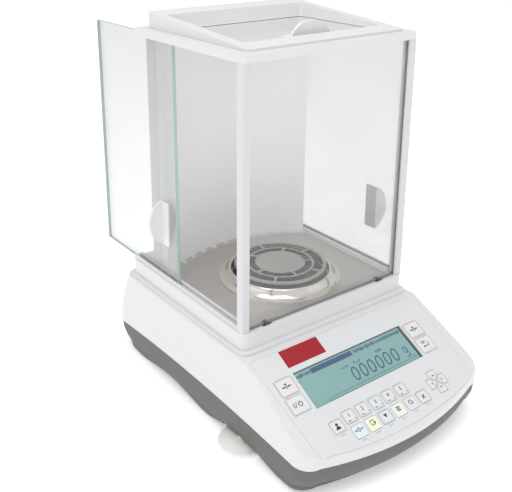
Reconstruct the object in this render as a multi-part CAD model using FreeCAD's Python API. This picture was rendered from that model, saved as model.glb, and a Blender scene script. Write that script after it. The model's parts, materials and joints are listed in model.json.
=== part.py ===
import FreeCAD, Part
import os
from math import atan2, cos, degrees, pi, sin, sqrt

# Analytical balance: millimetres, +X right, +Y back, +Z up. The weighing pan's axis is the Z axis
# and the feet stand on z = 0. It is stored with the left draft-shield door slid back.

V = FreeCAD.Vector

# ---- driving dimensions -------------------------------------------------------------------------
# case
caseHalfWidth = 108.5
caseFrontY = -180.0
caseRearY = 142.0
caseBottomZ = 9.0
skirtBottomZ = 1.8
skirtTaper = 1.0
ledgeZ = 88.0
caseWall = 2.5
consoleTopY = -82.0
consoleFrontZ = 35.9
consoleWall = 4.5
frontBow = 15.0
caseCorner = 16.0
partingMidZ = 37.5
partingFrontZ = 28.5
partingRearZ = 28.1
partingGap = 0.3
# chamber base and column
ledgeWidth = 10.5
rearLedgeDepth = 22.0
baseFrontY = -71.0
baseHeight = 18.0
baseWall = 3.0
baseCorner = 7.0
deckThickness = 3.0
skirtHeight = 2.5
skirtReach = 3.0
railHeight = 3.5
railWidth = 8.7
chamberHeight = 232.0
postWidth = 8.5
postFrontY = -69.0
columnDepth = 34.0
columnBehind = 20.0
columnWall = 2.5
columnMeet = 0.2
wallMidGap = 6.5
plateThickness = 1.5
plateStripWidth = 5.0
plateFit = 0.15
ventCount = 10
ventWidth = 2.2
ventLength = 11.2
# glass
glassThickness = 3.5
glassClearance = 0.3
glassEngage = 3.3
doorInset = 4.0
doorFrontY = -60.0
doorOverlap = 16.0
doorOpening = 98.0
# lid
lidThickness = 7.0
lidFrontY = -70.0
rimInset = 10.0
rimFrontY = -62.0
rimFrontRise = 2.0
rimRearRise = 15.0
hatchBorder = 12.0
hatchFrontY = -42.0
hatchRearBorder = 24.0
hatchDraft = 4.0
hatchLip = 5.0
# handles
handleChord = 44.0
handleReach = 15.0
handleThickness = 3.0
handleFlange = 14.0
handleFlangeThickness = 1.6
handleHeight = 58.0
handleY = -34.0
hatchHandleY = -36.0
# weighing system
panRadius = 45.0
panThickness = 1.8
panRise = 13.4
spindleRadius = 5.0
spindleFit = 0.05
spindleHoleRadius = 9.0
ringOverlap = 14.4
ringGap = 2.2
ringHeight = 9.5
ringSheet = 1.2
leverArm = 22.0
# feet
footInset = 9.5
footY = -72.0
footRadius = 22.0
footWheelBottomZ = 2.4
footWheelHeight = 5.2
footWheelRoom = 3.4
footStemRadius = 4.0
footStemFit = 0.1
rearFootInset = 24.5
rearFootRadius = 11.0
# control panel, measured along the console's slope from its front edge
overlayThickness = 1.6
membraneThickness = 0.4
overlayTopMargin = 8.5
overlayBottomMargin = 14.5
overlayBottom = 14.5
overlayBow = 9.5
overlayFit = 0.15
screenLeftMargin = 30.0
screenRightMargin = 40.0
screenBottom = 51.5
screenTop = 87.0
keyClearance = 0.3
keyThickness = 1.1
keyRaise = 0.2
keyCorner = 1.6

# ---- derived ------------------------------------------------------------------------------------
consoleRun = consoleTopY - caseFrontY
consoleRise = ledgeZ - consoleFrontZ
consoleAngle = degrees(atan2(consoleRise, consoleRun))
panelPlace = FreeCAD.Placement(V(0, caseFrontY, consoleFrontZ), FreeCAD.Rotation(V(1, 0, 0), consoleAngle))
overlayTop = sqrt(consoleRun**2 + consoleRise**2) - 1.0
overlayTopHalf = caseHalfWidth - overlayTopMargin
overlayBottomHalf = caseHalfWidth - overlayBottomMargin
screenLeft = screenLeftMargin - overlayTopHalf
screenRight = overlayTopHalf - screenRightMargin
baseHalfWidth = caseHalfWidth - ledgeWidth
baseRearY = caseRearY - rearLedgeDepth
deckZ = ledgeZ + baseHeight
chamberTopZ = deckZ + chamberHeight
railTopZ = deckZ + railHeight
doorOuterX = baseHalfWidth - doorInset
doorInnerX = doorOuterX - glassThickness
railOuterX = doorInnerX + glassThickness + 2.2
columnHalfWidth = railOuterX - railWidth - columnMeet
columnRearY = baseRearY - columnBehind
columnFrontY = columnRearY - columnDepth
columnWallMidY = columnRearY - wallMidGap
plateHalfWidth = columnHalfWidth - 0.9
doorLength = columnFrontY + doorOverlap - doorFrontY
doorBottomZ = railTopZ - glassEngage
doorTopZ = chamberTopZ + glassEngage + 1.0
lidHalfWidth = baseHalfWidth - 1.0
lidTopZ = chamberTopZ + lidThickness
rimHalfWidth = baseHalfWidth - rimInset
rimRearY = columnRearY - 10.0
rimFrontZ = lidTopZ + rimFrontRise
rimRearZ = lidTopZ + rimRearRise
hatchHalfWidth = rimHalfWidth - hatchBorder
hatchRearY = rimRearY - hatchRearBorder
hatchGlassTopZ = lidTopZ - 0.5
hatchGlassBottomZ = hatchGlassTopZ - glassThickness
hatchGlassHalf = hatchHalfWidth + hatchLip
hatchGlassFrontY = hatchFrontY - hatchLip
hatchGlassRearY = hatchRearY + 10.0
wallSag = columnWallMidY - columnFrontY
wallRadius = (columnHalfWidth**2 + wallSag**2) / (2 * wallSag)
wallCentreY = columnWallMidY - wallRadius
plateRearRadius = wallRadius - plateStripWidth
frontGlassY = postFrontY + 2.4
frontGlassHalf = baseHalfWidth - 0.5 - postWidth + 2.2
panTopZ = deckZ + panRise
panBottomZ = panTopZ - panThickness
ringOuterRadius = panRadius + ringOverlap
ringInnerRadius = panRadius + ringGap
ringTopZ = deckZ + ringHeight
footX = caseHalfWidth - footInset
footPlaces = [(-footX, footY), (footX, footY)]
rearFootX = caseHalfWidth - rearFootInset
rearFootY = caseRearY - 30.0


# ---- helpers ------------------------------------------------------------------------------------
def block(x0, y0, z0, x1, y1, z1):
    return Part.makeBox(x1 - x0, y1 - y0, z1 - z0, V(x0, y0, z0))


def disc(x, y, z0, z1, radius):
    return Part.makeCylinder(radius, z1 - z0, V(x, y, z0))


def line(a, b):
    return Part.LineSegment(a, b).toShape()


def arc(a, b, c):
    return Part.Arc(a, b, c).toShape()


def roundedPlan(x0, y0, x1, y1, radius, z=0.0):
    """Closed wire of a rectangle with round corners."""
    k = radius * (1 - sqrt(0.5))
    edges = [
        line(V(x0 + radius, y0, z), V(x1 - radius, y0, z)),
        arc(V(x1 - radius, y0, z), V(x1 - k, y0 + k, z), V(x1, y0 + radius, z)),
        line(V(x1, y0 + radius, z), V(x1, y1 - radius, z)),
        arc(V(x1, y1 - radius, z), V(x1 - k, y1 - k, z), V(x1 - radius, y1, z)),
        line(V(x1 - radius, y1, z), V(x0 + radius, y1, z)),
        arc(V(x0 + radius, y1, z), V(x0 + k, y1 - k, z), V(x0, y1 - radius, z)),
        line(V(x0, y1 - radius, z), V(x0, y0 + radius, z)),
        arc(V(x0, y0 + radius, z), V(x0 + k, y0 + k, z), V(x0 + radius, y0, z)),
    ]
    return Part.Wire(edges)


def roundedBlock(x0, y0, z0, x1, y1, z1, radius):
    return Part.Face(roundedPlan(x0, y0, x1, y1, radius, z0)).extrude(V(0, 0, z1 - z0))


def polyBlock(points, depth):
    """A closed polygon of vectors, extruded by the vector depth."""
    return Part.Face(Part.makePolygon(points + [points[0]])).extrude(depth)


def spun(profile):
    """A closed profile of (radius, z) points, turned about Z."""
    points = [V(r, 0, z) for r, z in profile]
    return Part.Face(Part.makePolygon(points + [points[0]])).revolve(V(0, 0, 0), V(0, 0, 1), 360)


def joined(shapes):
    whole = shapes[0].fuse(shapes[1:]) if len(shapes) > 1 else shapes[0]
    return whole.removeSplitter()


def onPanel(shape):
    shape.Placement = panelPlace.multiply(shape.Placement)
    return shape


def save(name, shape):
    shape.exportStep("parts/" + name + ".step")


# ---- case ---------------------------------------------------------------------------------------
def casePlan(z, inset):
    """The case's outline at height z: straight sides, a bowed front and round corners."""
    low = max(0.0, (partingMidZ - z) / (partingMidZ - caseBottomZ))
    high = max(0.0, (z - partingMidZ) / (ledgeZ - partingMidZ))
    halfWidth = caseHalfWidth - 5.0 * low**2 - 5.0 * high**1.6 - inset
    front = caseFrontY + 9.0 * low**3 + inset
    rear = caseRearY - 9.0 * low**3 - 12.0 * high**1.5 - inset
    side = front + frontBow
    r = caseCorner
    k = r * (1 - sqrt(0.5))
    edges = [
        arc(V(-halfWidth + r, side, z), V(0, front, z), V(halfWidth - r, side, z)),
        arc(V(halfWidth - r, side, z), V(halfWidth - k, side + k, z), V(halfWidth, side + r, z)),
        line(V(halfWidth, side + r, z), V(halfWidth, rear - r, z)),
        arc(V(halfWidth, rear - r, z), V(halfWidth - k, rear - k, z), V(halfWidth - r, rear, z)),
        line(V(halfWidth - r, rear, z), V(-halfWidth + r, rear, z)),
        arc(V(-halfWidth + r, rear, z), V(-halfWidth + k, rear - k, z), V(-halfWidth, rear - r, z)),
        line(V(-halfWidth, rear - r, z), V(-halfWidth, side + r, z)),
        arc(V(-halfWidth, side + r, z), V(-halfWidth + k, side + k, z), V(-halfWidth + r, side, z)),
    ]
    return Part.Wire(edges)


def caseSolid(inset, consoleDrop):
    bottom = caseBottomZ + inset
    top = ledgeZ - inset
    middle = [bottom + (partingMidZ - bottom) * share for share in (0.25, 0.5, 1.0)]
    upper = [partingMidZ + (top - partingMidZ) * share for share in (0.35, 0.7)]
    levels = [bottom] + middle + upper + [top]
    body = Part.makeLoft([casePlan(z, inset) for z in levels], True, True)
    reach = 300.0
    aboveConsole = Part.makeBox(2 * reach, reach, reach, V(-reach, -reach / 2, -consoleDrop))
    return body.cut(onPanel(aboveConsole))


def belowParting(gap):
    """Everything under the arched line where the two halves of the case meet."""
    wide = caseHalfWidth + 20.0
    front = V(-wide, caseFrontY - 20, partingFrontZ - gap)
    middle = V(-wide, 8, partingMidZ - gap)
    rear = V(-wide, caseRearY + 20, partingRearZ - gap)
    arch = arc(front, middle, rear)
    low = -50.0
    edges = [
        arch,
        line(rear, V(-wide, rear.y, low)),
        line(V(-wide, rear.y, low), V(-wide, front.y, low)),
        line(V(-wide, front.y, low), front),
    ]
    return Part.Face(Part.Wire(edges)).extrude(V(2 * wide, 0, 0))


caseShell = caseSolid(0.0, 0.0).cut(caseSolid(caseWall, consoleWall))

bossInset = 24.5
bossX = caseHalfWidth - bossInset
bossPlaces = [(x, y) for x in (-bossX, bossX) for y in (caseFrontY + 34.0, -20.0, columnFrontY + 6.0)]
bossRadius = 4.5
bossSplitZ = partingMidZ - 12.0
screwRadius = 1.5
screwHeadRadius = 2.9
screwHeadHeight = 1.8
screwLength = 26.0
columnScrewX = columnHalfWidth - 11.3
columnScrewEnd = 24.0
columnScrewPlaces = [(side * columnScrewX, z) for side in (-1, 1)
                     for z in (deckZ + columnScrewEnd, chamberTopZ - columnScrewEnd)]
columnScrewLength = 9.0
footBossRadius = 7.0
footBossTopZ = 32.0
insertHeight = 8.0
insertWall = 1.6
insertRadius = footStemRadius + insertWall


def skirtTube(inset, low, high):
    ends = []
    for z, narrower in ((low, inset + skirtTaper), (high, inset)):
        wire = casePlan(caseBottomZ, narrower)
        wire.translate(V(0, 0, z - caseBottomZ))
        ends.append(wire)
    return Part.makeLoft(ends, True, True)


def sideSkirt():
    """The wavy skirt under the side walls: low before and behind the feet, arched between."""
    top = caseBottomZ + 1
    skirt = skirtTube(0.0, skirtBottomZ, top).cut(skirtTube(caseWall, skirtBottomZ - 0.5, top + 0.5))
    drop = caseBottomZ - skirtBottomZ
    heights = [(caseFrontY - 40, -0.1), (caseFrontY + 12, 0.0), (-142, 0.75), (-116, 0.65), (-99, 0.1),
               (footY, 0.0), (-49, 0.1), (-24, 0.92), (8, 0.5), (42, 0.05), (74, 0.5),
               (102, 0.96), (122, 0.6), (caseRearY, 0.0), (caseRearY + 40, -0.1)]
    wide = caseHalfWidth + 20
    points = [V(-wide, y, caseBottomZ - drop * share) for y, share in heights]
    wave = Part.BSplineCurve()
    wave.interpolate(points)
    low = -20.0
    corners = [points[-1], V(-wide, points[-1].y, low), V(-wide, points[0].y, low), points[0]]
    edges = [wave.toShape()] + [line(a, b) for a, b in zip(corners, corners[1:])]
    under = Part.Face(Part.Wire(edges)).extrude(V(2 * wide, 0, 0))
    return skirt.cut(under)


def lowerHousing():
    shell = caseShell.common(belowParting(partingGap))
    hollow = caseSolid(caseWall, consoleWall)
    bosses = [disc(x, y, caseBottomZ + 1, bossSplitZ, bossRadius) for x, y in bossPlaces]
    bosses += [disc(x, y, caseBottomZ + 0.5, footBossTopZ, footBossRadius).common(hollow)
               for x, y in footPlaces]
    shell = shell.fuse(bosses).fuse(sideSkirt())
    for x, y in bossPlaces:
        shell = shell.cut(disc(x, y, 0, bossSplitZ + 1, screwRadius + 0.2))
        shell = shell.cut(disc(x, y, 0, caseBottomZ + screwHeadHeight + 0.2, screwHeadRadius + 0.3))
    for x, y in footPlaces:
        shell = shell.cut(disc(x, y, 0, footBossTopZ + 1, footStemRadius + 0.6))
        shell = shell.cut(disc(x, y, footBossTopZ - insertHeight, footBossTopZ + 1, insertRadius))
        shell = shell.cut(disc(x, y, 0, footWheelBottomZ + footWheelHeight + footWheelRoom, footRadius + 1.5))
    for x in (-rearFootX, rearFootX):
        shell = shell.cut(disc(x, rearFootY, 0, caseBottomZ + 1.2, rearFootRadius + 0.2))
    slots = [block(-30, y, 0, 30, y + 3, caseBottomZ + 6) for y in range(-30, 30, 9)]
    return shell.cut(slots).removeSplitter()


def upperHousing():
    shell = caseShell.cut(belowParting(0.0))
    solid = caseSolid(0.5, 0.5)
    for x, y in bossPlaces:
        shell = shell.fuse(disc(x, y, bossSplitZ, ledgeZ, bossRadius).common(solid))
        shell = shell.cut(disc(x, y, bossSplitZ - 1, caseBottomZ + screwLength + 4, screwRadius))
    shell = shell.cut(disc(0, 0, ledgeZ - 10, ledgeZ + 10, spindleHoleRadius + 2))
    shell = shell.cut(onPanel(overlayBlock(0.0, -overlayThickness - membraneThickness, 20.0)))
    shell = shell.cut(onPanel(screenOpening(-20, 20)))
    shell = shell.cut([connectorBlock(jackX, jackWidth, 0.2), connectorBlock(serialX, serialWidth, 0.2)])
    return shell.removeSplitter()


# ---- control panel ------------------------------------------------------------------------------
overlayCorner = 5.0


def screenOpening(low, high):
    return block(screenLeft - 4, screenBottom - 3, low, screenRight + 4, screenTop + 3, high)


def overlayBlock(inset, low, high):
    """The panel's printed sheet: straight top and sides, a bottom edge that bows forward."""
    r = overlayCorner
    topHalf = overlayTopHalf - inset
    bottomHalf = overlayBottomHalf - inset
    top = overlayTop - inset
    corner = overlayBottom + inset
    tip = overlayBottom - overlayBow + inset
    k = r * (1 - sqrt(0.5))
    edges = [
        arc(V(-bottomHalf + r, corner, low), V(0, tip, low), V(bottomHalf - r, corner, low)),
        arc(V(bottomHalf - r, corner, low), V(bottomHalf - k, corner + k, low),
            V(bottomHalf, corner + r, low)),
        line(V(bottomHalf, corner + r, low), V(topHalf, top, low)),
        line(V(topHalf, top, low), V(-topHalf, top, low)),
        line(V(-topHalf, top, low), V(-bottomHalf, corner + r, low)),
        arc(V(-bottomHalf, corner + r, low), V(k - bottomHalf, corner + k, low),
            V(r - bottomHalf, corner, low)),
    ]
    return Part.Face(Part.Wire(edges)).extrude(V(0, 0, high - low))


# name: (centre across, centre up the slope, width, height)
bigKey = (18.4, 15.6)
smallKey = (12.8, 11.2)
functionRow = 34.4
lowerRow = 20.4
keyPitch = 15.4
keys = {
    "key_tare_left": (screenLeft - 12.6, 78.6) + bigKey,
    "key_power": (screenLeft - 12.6, 61.4) + bigKey,
    "key_tare_right": (screenRight + 11.6, 77.6) + bigKey,
    "key_enter": (screenRight + 11.6, 60.4) + bigKey,
    "key_user": (-63.2, 31.4) + smallKey,
}
for number in range(5):
    keys["key_f%d" % (number + 1)] = (-47.4 + number * keyPitch, functionRow) + smallKey
lowerRowNames = ["key_zero", "key_print", "key_calibrate", "key_menu", "key_units", "key_clear"]
for number, name in enumerate(lowerRowNames):
    keys[name] = (-47.4 + number * keyPitch, lowerRow) + smallKey
arrowCentre = (53.4, 26.4)
arrowHalfWidth = 4.9
arrowReach = 10.8
arrowTip = 0.9
arrowTurns = {"key_up": 0, "key_left": 90, "key_down": 180, "key_right": 270}


def keyBlock(name, grow, low, high):
    """A key's pad in panel coordinates: round-cornered, or for an arrow key five-sided, tip inwards."""
    if name in keys:
        across, up, width, height = keys[name]
        half = width / 2 + grow
        tall = height / 2 + grow
        return roundedBlock(across - half, up - tall, low, across + half, up + tall, high, keyCorner + grow)
    half = arrowHalfWidth + grow
    base = arrowReach + grow
    tip = arrowTip - grow * sqrt(2)
    shoulder = tip + half
    points = [V(-half, base, low), V(-half, shoulder, low), V(0, tip, low),
              V(half, shoulder, low), V(half, base, low)]
    pad = polyBlock(points, V(0, 0, high - low))
    pad.rotate(V(0, 0, 0), V(0, 0, 1), arrowTurns[name])
    pad.translate(V(arrowCentre[0], arrowCentre[1], 0))
    return pad


keyNames = list(keys) + list(arrowTurns)


def controlOverlay():
    sheet = overlayBlock(overlayFit, -overlayThickness, 0.0)
    holes = [keyBlock(name, keyClearance, -5, 5) for name in keyNames]
    window = block(screenLeft, screenBottom, -5, screenRight, screenTop, 5)
    return onPanel(sheet.cut(holes + [window]))


def keypadMembrane():
    sheet = overlayBlock(overlayFit, -overlayThickness - membraneThickness, -overlayThickness)
    return onPanel(sheet.cut(screenOpening(-5, 5)))


def keyPad(name):
    return onPanel(keyBlock(name, 0.0, keyRaise - keyThickness, keyRaise))


def lcdWindow():
    pane = block(screenLeft + overlayFit, screenBottom + overlayFit, -1.2,
                 screenRight - overlayFit, screenTop - overlayFit, -0.1)
    return onPanel(pane)


lcdTop = -overlayThickness - membraneThickness
lcdDepth = 7.0


def lcdModule():
    glass = block(screenLeft - 2, screenBottom - 2, lcdTop - 2.8, screenRight + 2, screenTop + 2, lcdTop)
    frame = block(screenLeft - 3.5, screenBottom - 2.6, lcdTop - lcdDepth, screenRight + 3.5, screenTop + 2.6,
                  lcdTop - 2.8)
    return onPanel(joined([glass, frame]))


def displayBoard():
    top = lcdTop - lcdDepth
    board = block(screenLeft - 8, 24, top - 1.6, screenRight + 18, screenTop + 11, top)
    connector = block(-8, 28, top - 8, 22, 34, top - 1.6)
    chip = block(-50, 50, top - 3.2, -36, 64, top - 1.6)
    return onPanel(joined([board, connector, chip]))


# ---- chamber ------------------------------------------------------------------------------------
def wallArc(radius, low, high, halfWidth):
    """A slab bounded behind by an arc about the column wall's centre, out to halfWidth."""
    slab = block(-halfWidth, wallCentreY, low, halfWidth, wallCentreY + radius + 1, high)
    return slab.common(disc(0, wallCentreY, low, high, radius))


def doorGroove(side, low, high):
    x0 = doorInnerX - glassClearance
    x1 = doorOuterX + glassClearance
    if side < 0:
        x0, x1 = -x1, -x0
    return block(x0, doorFrontY - glassClearance, low, x1, baseRearY + 20, high)


def floorPlateBlock(inset, low, high):
    half = plateHalfWidth - inset
    front = frontGlassY + glassThickness + 2.0 + inset
    slab = roundedBlock(-half, front, low, half, columnRearY, high, 2.0)
    return slab.common(wallArc(plateRearRadius - inset, low - 1, high + 1, half + 5).fuse(
        block(-half - 5, front - 5, low - 1, half + 5, columnFrontY - plateStripWidth - 1, high + 1)))


def chamberBase():
    inner = baseHalfWidth - baseWall
    front = baseFrontY + baseWall
    rear = baseRearY - baseWall
    body = roundedBlock(-baseHalfWidth, baseFrontY, ledgeZ, baseHalfWidth, baseRearY, deckZ, baseCorner)
    hollow = roundedBlock(-inner, front, ledgeZ - 1, inner, rear, deckZ - deckThickness, baseCorner - 2)
    wide = baseHalfWidth + skirtReach
    skirt = roundedBlock(-wide, baseFrontY - skirtReach - 2, ledgeZ, wide, baseRearY + skirtReach,
                         ledgeZ + skirtHeight, baseCorner + 2)
    rails = [block(x0, doorFrontY, deckZ - 1, x0 + railWidth, baseRearY - 2, railTopZ)
             for x0 in (-railOuterX, railOuterX - railWidth)]
    body = body.fuse([skirt] + rails).cut(hollow)
    body = body.cut([doorGroove(side, doorBottomZ - glassClearance, railTopZ + 1) for side in (-1, 1)])
    body = body.cut(floorPlateBlock(-plateFit, deckZ - plateThickness, deckZ + 5))
    body = body.cut(disc(0, 0, ledgeZ, deckZ, spindleHoleRadius))
    slots = []
    for number in range(ventCount):
        turn = 60.0 * ((number + 0.5) / ventCount - 0.5)
        near = plateRearRadius + 1.5
        half = ventLength / 2
        slot = roundedBlock(-half, near, deckZ - 8, half, near + ventWidth, deckZ + 5, 1.0)
        slot.rotate(V(0, 0, 0), V(0, 0, 1), -turn)
        slot.translate(V(0, wallCentreY, 0))
        slots.append(slot)
    body = body.cut(slots)
    return body.cut([seatBlock(x, 0.1) for x in seatPlaces]).removeSplitter()


seatX = frontGlassHalf - 22.2
seatPlaces = (-seatX, seatX)
seatDepth = 2.0


def seatBlock(x, grow):
    half = 5.0 + grow
    return block(x - half, frontGlassY - 1.6 - grow, deckZ - seatDepth, x + half,
                 frontGlassY + glassThickness + 1.4 + grow, deckZ + 1.6)


def glassSeats():
    glass = frontGlassBlock(0.0)
    return Part.makeCompound([seatBlock(x, 0.0).cut(glass) for x in seatPlaces])


def floorPlate():
    plate = floorPlateBlock(0.0, deckZ - plateThickness, deckZ)
    return plate.cut(disc(0, 0, deckZ - 5, deckZ + 5, spindleHoleRadius - 1.5))


frontGlassHalf = baseHalfWidth - 0.5 - postWidth + 2.2


def frontGlassBlock(grow):
    half = frontGlassHalf + grow
    return block(-half, frontGlassY - grow, deckZ + 0.6 - grow, half,
                 frontGlassY + glassThickness + grow, chamberTopZ + glassEngage + grow)


def cornerPost(side):
    outer = baseHalfWidth - 0.5
    x0, x1 = (outer - postWidth, outer) if side > 0 else (-outer, -outer + postWidth)
    post = roundedBlock(x0, postFrontY, deckZ, x1, postFrontY + postWidth, chamberTopZ, 1.6)
    return post.cut(frontGlassBlock(0.1))


columnJoint = 12.0


def columnPlan(inset, low, high):
    half = columnHalfWidth - inset
    return roundedBlock(-half, columnFrontY - 40, low, half, columnRearY - inset, high, 8.0 - inset)


def columnWallShell():
    """The chamber's concave back wall with its two front edges turned back."""
    outer = columnPlan(0.0, deckZ, chamberTopZ)
    joint = columnFrontY + columnJoint
    low = deckZ - 1
    high = chamberTopZ + 1
    wide = columnHalfWidth + 5
    front = outer.cut(wallArc(wallRadius, low, high, wide))
    front = front.cut(block(-wide, -200, low, wide, columnFrontY, high))
    arcWall = front.common(wallArc(wallRadius + columnWall, low, high, wide))
    edges = [block(x0, columnFrontY, deckZ, x0 + columnWall, joint, chamberTopZ).common(front)
             for x0 in (-columnHalfWidth, columnHalfWidth - columnWall)]
    return joined([arcWall] + edges)


def columnCover():
    """The flat cover behind the column, fastened by four screws."""
    joint = columnFrontY + columnJoint + 0.2
    cover = columnPlan(0.0, deckZ, chamberTopZ).cut(columnPlan(columnWall, deckZ - 1, chamberTopZ + 1))
    wide = columnHalfWidth + 5
    cover = cover.cut(block(-wide, -200, deckZ - 1, wide, joint, chamberTopZ + 1))
    pillars = [Part.makeCylinder(4.0, columnScrewLength, V(x, columnRearY, z), V(0, -1, 0))
               for x, z in columnScrewPlaces]
    cover = cover.fuse(pillars)
    return cover.cut([Part.makeCylinder(screwRadius, 40, V(x, columnRearY + 5, z), V(0, -1, 0))
                      for x, z in columnScrewPlaces]).removeSplitter()


def frontGlass():
    return frontGlassBlock(0.0)


def sideDoorGlass(side):
    offset = doorOpening if side < 0 else 0.0
    x0 = doorInnerX if side > 0 else -doorOuterX
    y0 = doorFrontY + offset
    return block(x0, y0, doorBottomZ, x0 + glassThickness, y0 + doorLength, doorTopZ)


def handleMoulding():
    """A half-moon fin standing on a flat strip; the glass is at x = 0 and the fin points to -X."""
    chord = handleChord / 2
    foot = V(-handleFlangeThickness, 0, -chord)
    head = V(-handleFlangeThickness, 0, chord)
    moon = Part.Wire([arc(foot, V(-handleReach, 0, 0), head), line(head, foot)])
    fin = Part.Face(moon).extrude(V(0, handleThickness, 0))
    strip = block(-handleFlangeThickness, 0, -chord, 0, handleFlange, chord)
    return joined([fin, strip])


def sideDoorHandle(side):
    handle = handleMoulding()
    if side < 0:
        handle.rotate(V(0, 0, 0), V(1, 0, 0), 180)
        handle.translate(V(-doorOuterX, handleY + doorOpening, deckZ + handleHeight))
    else:
        handle.rotate(V(0, 0, 0), V(0, 0, 1), 180)
        handle.rotate(V(0, 0, 0), V(1, 0, 0), 180)
        handle.translate(V(doorOuterX, handleY, deckZ + handleHeight))
    return handle


# ---- lid ----------------------------------------------------------------------------------------
def lidFrame():
    plate = roundedBlock(-lidHalfWidth, lidFrontY, chamberTopZ, lidHalfWidth, columnRearY, lidTopZ, 4.0)
    tilt = (rimRearZ - rimFrontZ) / (rimRearY - rimFrontY)
    rim = roundedBlock(-rimHalfWidth, rimFrontY, chamberTopZ + 1, rimHalfWidth, rimRearY, rimRearZ + 20, 5.0)
    reach = 300.0
    above = Part.makeBox(2 * reach, 2 * reach, reach, V(-reach, -reach, 0))
    turn = FreeCAD.Rotation(V(1, 0, 0), degrees(atan2(tilt, 1)))
    lean = FreeCAD.Placement(V(0, rimFrontY, rimFrontZ), turn)
    above.Placement = lean.multiply(above.Placement)
    lid = joined([plate, rim.cut(above)])
    low = roundedPlan(-hatchHalfWidth, hatchFrontY, hatchHalfWidth, hatchRearY, 3.0, hatchGlassTopZ)
    grow = hatchDraft
    wide = hatchHalfWidth + grow
    high = roundedPlan(-wide, hatchFrontY - 1, wide, hatchRearY + grow, 3.0, rimRearZ + 3)
    lid = lid.cut(Part.makeLoft([low, high], True, True))
    lip = hatchHalfWidth - 2.0
    below = chamberTopZ - 1
    lid = lid.cut(roundedBlock(-lip, hatchFrontY + 1, below, lip, hatchRearY - 2, hatchGlassTopZ, 3.0))
    half = hatchGlassHalf + glassClearance
    lid = lid.cut(block(-half, hatchGlassFrontY - glassClearance, hatchGlassBottomZ - glassClearance,
                        half, columnRearY + 5, hatchGlassTopZ + glassClearance))
    lid = lid.cut([doorGroove(side, chamberTopZ - 1, doorTopZ + glassClearance) for side in (-1, 1)])
    return lid.cut(frontGlassBlock(0.1)).removeSplitter()


def topDoorGlass():
    half = hatchGlassHalf
    return block(-half, hatchGlassFrontY, hatchGlassBottomZ, half, hatchGlassRearY, hatchGlassTopZ)


def topDoorHandle():
    handle = handleMoulding()
    handle.rotate(V(0, 0, 0), V(0, 1, 0), 90)
    handle.translate(V(0, hatchHandleY, hatchGlassTopZ))
    return handle


# ---- weighing system ----------------------------------------------------------------------------
panInnerSlots = (panRadius - 20.7, panRadius - 14.0)
panOuterSlots = (panRadius - 11.8, panRadius - 3.4)
panSpokeWidth = 2.6
panHubHeight = 5.0


def weighingPan():
    plate = disc(0, 0, panBottomZ, panTopZ, panRadius)
    cuts = []
    for (inner, outer), start in ((panInnerSlots, 44.0), (panOuterSlots, 8.0)):
        low = panBottomZ - 1
        high = panTopZ + 1
        band = disc(0, 0, low, high, outer).cut(disc(0, 0, low, high, inner))
        spokes = []
        for number in range(5):
            spoke = block(0, -panSpokeWidth / 2, panBottomZ - 2, outer + 2, panSpokeWidth / 2, panTopZ + 2)
            spoke.rotate(V(0, 0, 0), V(0, 0, 1), start + 72.0 * number)
            spokes.append(spoke)
        cuts.append(band.cut(spokes))
    hub = disc(0, 0, panBottomZ - panHubHeight, panBottomZ, spindleRadius + 3)
    pan = joined([plate.cut(cuts), hub])
    return pan.cut(disc(0, 0, panBottomZ - panHubHeight - 1, panBottomZ - 0.5, spindleRadius + spindleFit))


def draftRing():
    """A turned ring: flat foot, sloping dome, then a lip turned in round the pan."""
    mid = (ringOuterRadius + ringInnerRadius) / 2
    rim = ringOuterRadius
    lip = ringInnerRadius
    outside = [(rim, deckZ), (rim, deckZ + ringSheet), (rim - 2.2, deckZ + ringSheet),
               (rim - 2.8, deckZ + 3.4), (mid + 0.6, deckZ + 6.4), (lip + 2.6, ringTopZ), (lip, ringTopZ)]
    inside = [(lip, ringTopZ - ringSheet), (lip + 1.8, ringTopZ - ringSheet), (mid - 0.8, deckZ + 5.4),
              (rim - 4.1, deckZ + 2.7), (rim - 4.1, deckZ)]
    return spun(outside + inside)


spindleTopZ = panBottomZ - 0.8
hangerTopZ = ledgeZ - 18.0
hangerBottomZ = 34.0
hangerReach = 7.0


def panSupport():
    stem = disc(0, 0, hangerTopZ - 2, spindleTopZ, spindleRadius)
    collar = disc(0, 0, panBottomZ - panHubHeight - 3.0, panBottomZ - panHubHeight, spindleRadius + 2)
    hanger = block(-16, -hangerReach, hangerBottomZ, 16, hangerReach, hangerTopZ)
    notch = block(-17, -hangerReach - 1, hangerBottomZ + 10, 17, hangerReach - 4, hangerTopZ - 10)
    return joined([stem, collar, hanger.cut(notch)])


loadCellFloorZ = 20.0
guideThickness = 1.2


def loadCellFrame():
    """Cast frame: base plate on the case floor's pads, a rear tower and guide arms round the hanger."""
    base = roundedBlock(-48, -52, loadCellFloorZ, 48, 62, loadCellFloorZ + 6, 6.0)
    tower = block(-30, 30, loadCellFloorZ + 5, 30, 46, hangerTopZ + 6)
    arms = []
    for z in (hangerBottomZ - 4.0, hangerTopZ + 2.0):
        high = z + guideThickness
        arms += [block(x, -10, z, x + 12, 31, high) for x in (-30, 18)]
        arms.append(block(-30, -16, z, 30, -9.5, high))
    feet = [disc(x, y, caseBottomZ + caseWall, loadCellFloorZ, 5) for x in (-40, 40) for y in (-44, 54)]
    frame = joined([base, tower] + arms + feet)
    pivotCut = block(-20, 29, leverZ - 8, 20, 50, leverZ + 8)
    bearing = Part.makeCylinder(leverPinRadius + 0.05, 80, V(-40, leverPivotY, leverZ), V(1, 0, 0))
    return frame.cut([pivotCut, bearing]).removeSplitter()


leverZ = (hangerBottomZ + hangerTopZ) / 2
leverPivotY = 38.0
leverPinRadius = 1.5
coilY = leverPivotY + 50.0
coilRadius = 11.0


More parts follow.
